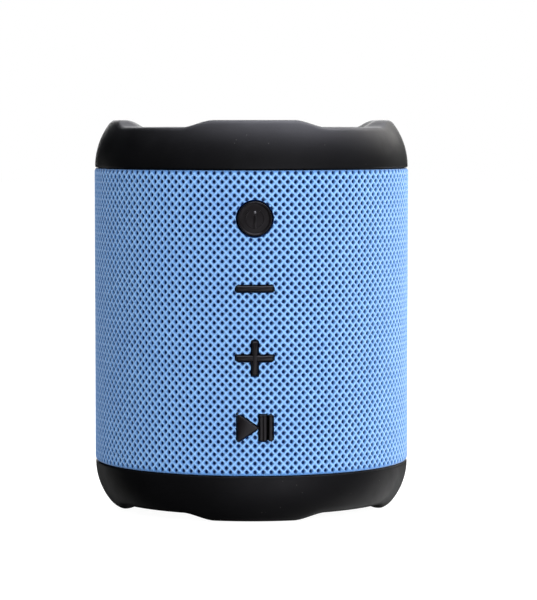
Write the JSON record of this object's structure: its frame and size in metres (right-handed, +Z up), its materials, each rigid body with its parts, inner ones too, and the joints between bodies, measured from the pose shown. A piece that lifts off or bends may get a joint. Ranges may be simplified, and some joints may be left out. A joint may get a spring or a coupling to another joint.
{
  "type": "portable bluetooth speaker",
  "caption": "Cylindrical portable speaker in a blue knitted sleeve between lobed black rubber caps, with front keys and a rear socket cover.",
  "frame": {"origin": "on the floor at the centre of the standing speaker", "axes": "+Z up along the body's axis, the keys face -Y, +X is to the right seen from the front"},
  "size_m": [0.082, 0.0834, 0.1007],
  "materials": {
    "rubber_black": "matte",
    "surround_rubber": "matte",
    "gasket_foam": "matte",
    "fabric_blue": "matte",
    "abs_black": "matte",
    "key_black": "satin",
    "plunger_plastic": "satin",
    "lens_clear": "gloss",
    "led_white": "satin",
    "circuit_board": "satin",
    "steel": "satin",
    "basket_steel": "satin",
    "weight_plate": "satin",
    "magnet": "matte",
    "brass": "satin",
    "copper": "satin",
    "ribbon_amber": "satin",
    "cell_wrap": "satin",
    "lead_red": "satin",
    "lead_black": "satin",
    "spider_cloth": "matte",
    "cone_black": "matte"
  },
  "bodies": {
    "housing": {"top_cap": "rubber_black", "bottom_cap": "rubber_black", "fabric_sleeve": "fabric_blue", "grille_tube": "abs_black", "chamber_tube": "abs_black", "top_baffle": "abs_black", "bottom_baffle": "abs_black", "top_gasket": "gasket_foam", "bottom_gasket": "gasket_foam", "end_screws": "steel", "top_radiator_ring": "abs_black", "bottom_radiator_ring": "abs_black", "top_radiator_surround": "surround_rubber", "bottom_radiator_surround": "surround_rubber", "switch_bodies": "steel", "key_board": "circuit_board", "status_led": "led_white", "microphone": "brass", "key_board_screws": "steel", "key_ribbon": "ribbon_amber", "main_board": "circuit_board", "bluetooth_module": "steel", "board_components": "abs_black", "usb_socket": "steel", "aux_jack": "abs_black", "battery_cell": "cell_wrap", "battery_holder": "abs_black", "battery_contacts": "brass", "battery_leads": "lead_red", "speaker_leads": "lead_black", "port_panel": "abs_black", "port_cover_pin": "steel", "left_basket": "basket_steel", "right_basket": "basket_steel", "left_magnet": "magnet", "right_magnet": "magnet", "left_motor_steel": "steel", "right_motor_steel": "steel", "left_surround": "surround_rubber", "right_surround": "surround_rubber", "left_spider": "spider_cloth", "right_spider": "spider_cloth", "driver_gaskets": "gasket_foam", "driver_screws": "steel"},
    "power_button": {"power_key": "key_black", "power_key_lens": "lens_clear", "power_plunger": "plunger_plastic"},
    "volume_down_button": {"volume_down_key": "key_black", "volume_down_plunger": "plunger_plastic"},
    "volume_up_button": {"volume_up_key": "key_black", "volume_up_plunger": "plunger_plastic"},
    "play_button": {"play_key": "key_black", "play_plunger": "plunger_plastic"},
    "port_door": {"port_cover": "rubber_black"},
    "top_radiator": {"top_radiator_plate": "weight_plate"},
    "bottom_radiator": {"bottom_radiator_plate": "weight_plate"},
    "left_diaphragm": {"left_cone": "cone_black", "left_voice_coil": "copper"},
    "right_diaphragm": {"right_cone": "cone_black", "right_voice_coil": "copper"}
  },
  "joints": [
    {"name": "power_press", "type": "slide", "parent": "housing", "child": "power_button", "axis": [0, 1, 0], "range_m": [0, 0.0005], "stiffness_N_per_m": 1500, "springref_m": -0.0003},
    {"name": "volume_down_press", "type": "slide", "parent": "housing", "child": "volume_down_button", "axis": [0, 1, 0], "range_m": [0, 0.0005], "stiffness_N_per_m": 1500, "springref_m": -0.0003},
    {"name": "volume_up_press", "type": "slide", "parent": "housing", "child": "volume_up_button", "axis": [0, 1, 0], "range_m": [0, 0.0005], "stiffness_N_per_m": 1500, "springref_m": -0.0003},
    {"name": "play_press", "type": "slide", "parent": "housing", "child": "play_button", "axis": [0, 1, 0], "range_m": [0, 0.0005], "stiffness_N_per_m": 1500, "springref_m": -0.0003},
    {"name": "port_cover_hinge", "type": "hinge", "parent": "housing", "child": "port_door", "pos_m": [-0.006, 0.0399, 0.038], "axis": [0, 0, 1], "range_deg": [0, 110]},
    {"name": "top_radiator_travel", "type": "slide", "parent": "housing", "child": "top_radiator", "axis": [0, 0, 1], "range_m": [-0.002, 0.002], "stiffness_N_per_m": 1500, "deforming": ["top_radiator_surround"]},
    {"name": "bottom_radiator_travel", "type": "slide", "parent": "housing", "child": "bottom_radiator", "axis": [0, 0, 1], "range_m": [-0.002, 0.002], "stiffness_N_per_m": 1500, "deforming": ["bottom_radiator_surround"]},
    {"name": "left_cone_travel", "type": "slide", "parent": "housing", "child": "left_diaphragm", "axis": [-1, 0, 0], "range_m": [-0.0015, 0.0015], "stiffness_N_per_m": 1500, "deforming": ["left_surround", "left_spider"]},
    {"name": "right_cone_travel", "type": "slide", "parent": "housing", "child": "right_diaphragm", "axis": [1, 0, 0], "range_m": [-0.0015, 0.0015], "stiffness_N_per_m": 1500, "deforming": ["right_surround", "right_spider"]}
  ]
}
